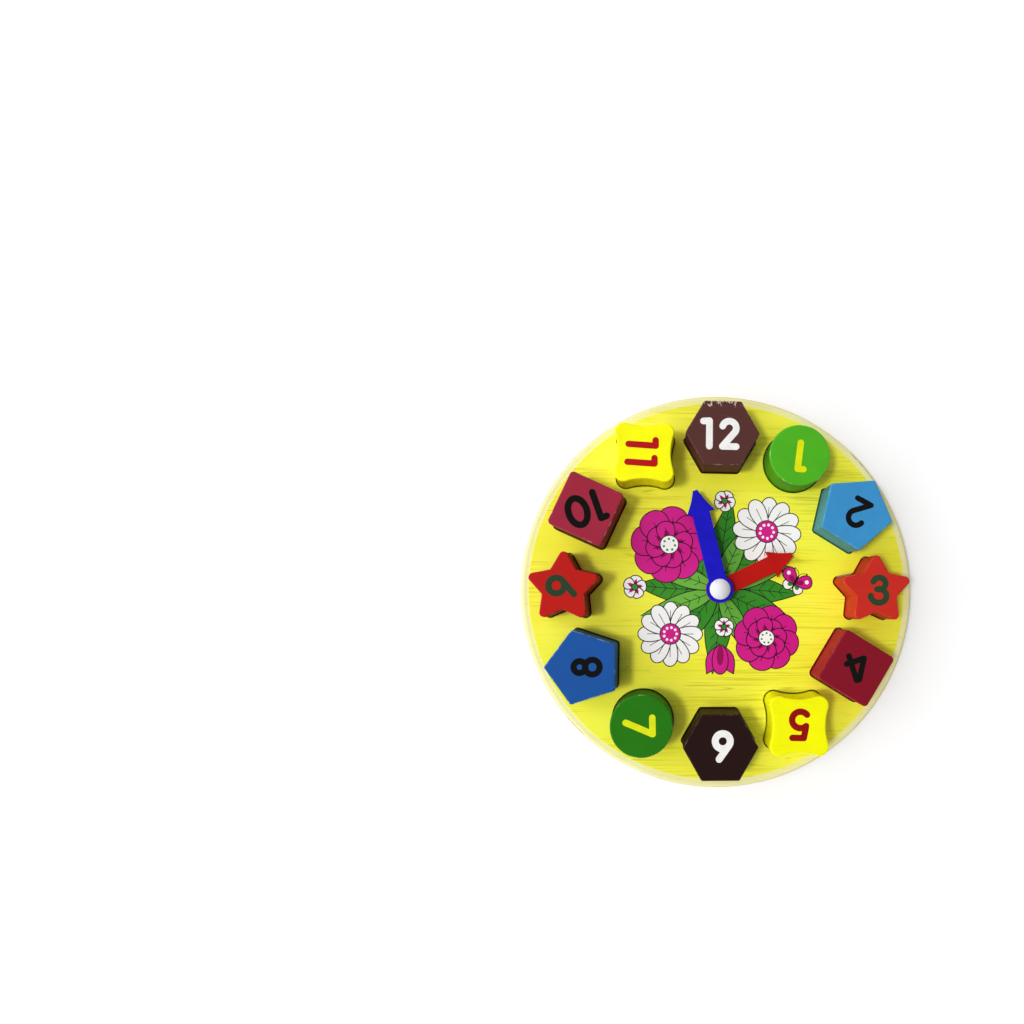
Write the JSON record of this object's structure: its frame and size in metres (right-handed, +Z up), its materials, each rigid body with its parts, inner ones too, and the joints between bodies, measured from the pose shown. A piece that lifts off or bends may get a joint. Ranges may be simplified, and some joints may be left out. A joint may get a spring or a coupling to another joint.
{
  "type": "wooden clock puzzle",
  "caption": "Round wooden clock puzzle board with shaped number blocks that lift out of their sockets, and an hour and a minute hand that turn.",
  "frame": {"origin": "middle of the board's underside, on the axis of the hands", "axes": "+Z up, out of the face; +Y towards twelve o'clock; +X towards three o'clock"},
  "size_m": [0.22, 0.22, 0.029],
  "materials": {
    "bare_wood": "bare pale wood, sanded, with a light seal",
    "printed_face": "yellow wood-grain print under a satin varnish, with a garden picture in the middle",
    "red_plastic": "moulded red plastic, semi-gloss",
    "blue_plastic": "moulded blue plastic, semi-gloss",
    "white_plastic": "moulded white plastic, glossy",
    "washer_plastic": "natural nylon, matte",
    "brown_paint": "brown satin paint on wood, with a little grain and eased edges",
    "green_paint": "green satin paint on wood, with a little grain and eased edges",
    "blue_paint": "blue satin paint on wood, with a little grain and eased edges",
    "red_paint": "red satin paint on wood, with a little grain and eased edges",
    "crimson_paint": "crimson satin paint on wood, with a little grain and eased edges",
    "yellow_paint": "yellow satin paint on wood, with a little grain and eased edges"
  },
  "bodies": {
    "board": {"backing_board": "bare_wood", "socket_board": "bare_wood", "face_print": "printed_face", "hub_rivet": "white_plastic", "face_washer": "washer_plastic", "hand_washer": "washer_plastic", "star_lock": "washer_plastic"},
    "hour_hand": {"hour_hand": "red_plastic"},
    "minute_hand": {"minute_hand": "blue_plastic"},
    "block_12_hexagon": {"block_12_hexagon": "brown_paint"},
    "block_1_circle": {"block_1_circle": "green_paint"},
    "block_2_pentagon": {"block_2_pentagon": "blue_paint"},
    "block_3_star": {"block_3_star": "red_paint"},
    "block_4_square": {"block_4_square": "crimson_paint"},
    "block_5_cushion": {"block_5_cushion": "yellow_paint"},
    "block_6_hexagon": {"block_6_hexagon": "brown_paint"},
    "block_7_circle": {"block_7_circle": "green_paint"},
    "block_8_pentagon": {"block_8_pentagon": "blue_paint"},
    "block_9_star": {"block_9_star": "red_paint"},
    "block_10_square": {"block_10_square": "crimson_paint"},
    "block_11_cushion": {"block_11_cushion": "yellow_paint"}
  },
  "joints": [
    {"name": "hour_hand_turn", "type": "hinge", "parent": "board", "child": "hour_hand", "pos_m": [0, 0, 0], "axis": [0, 0, 1], "continuous": true},
    {"name": "minute_hand_turn", "type": "hinge", "parent": "board", "child": "minute_hand", "pos_m": [0, 0, 0], "axis": [0, 0, 1], "continuous": true},
    {"name": "lift_12_hexagon", "type": "slide", "parent": "board", "child": "block_12_hexagon", "axis": [0, 0, 1], "range_m": [0, 0.03]},
    {"name": "lift_1_circle", "type": "slide", "parent": "board", "child": "block_1_circle", "axis": [0, 0, 1], "range_m": [0, 0.03]},
    {"name": "lift_2_pentagon", "type": "slide", "parent": "board", "child": "block_2_pentagon", "axis": [0, 0, 1], "range_m": [0, 0.03]},
    {"name": "lift_3_star", "type": "slide", "parent": "board", "child": "block_3_star", "axis": [0, 0, 1], "range_m": [0, 0.03]},
    {"name": "lift_4_square", "type": "slide", "parent": "board", "child": "block_4_square", "axis": [0, 0, 1], "range_m": [0, 0.03]},
    {"name": "lift_5_cushion", "type": "slide", "parent": "board", "child": "block_5_cushion", "axis": [0, 0, 1], "range_m": [0, 0.03]},
    {"name": "lift_6_hexagon", "type": "slide", "parent": "board", "child": "block_6_hexagon", "axis": [0, 0, 1], "range_m": [0, 0.03]},
    {"name": "lift_7_circle", "type": "slide", "parent": "board", "child": "block_7_circle", "axis": [0, 0, 1], "range_m": [0, 0.03]},
    {"name": "lift_8_pentagon", "type": "slide", "parent": "board", "child": "block_8_pentagon", "axis": [0, 0, 1], "range_m": [0, 0.03]},
    {"name": "lift_9_star", "type": "slide", "parent": "board", "child": "block_9_star", "axis": [0, 0, 1], "range_m": [0, 0.03]},
    {"name": "lift_10_square", "type": "slide", "parent": "board", "child": "block_10_square", "axis": [0, 0, 1], "range_m": [0, 0.03]},
    {"name": "lift_11_cushion", "type": "slide", "parent": "board", "child": "block_11_cushion", "axis": [0, 0, 1], "range_m": [0, 0.03]}
  ]
}
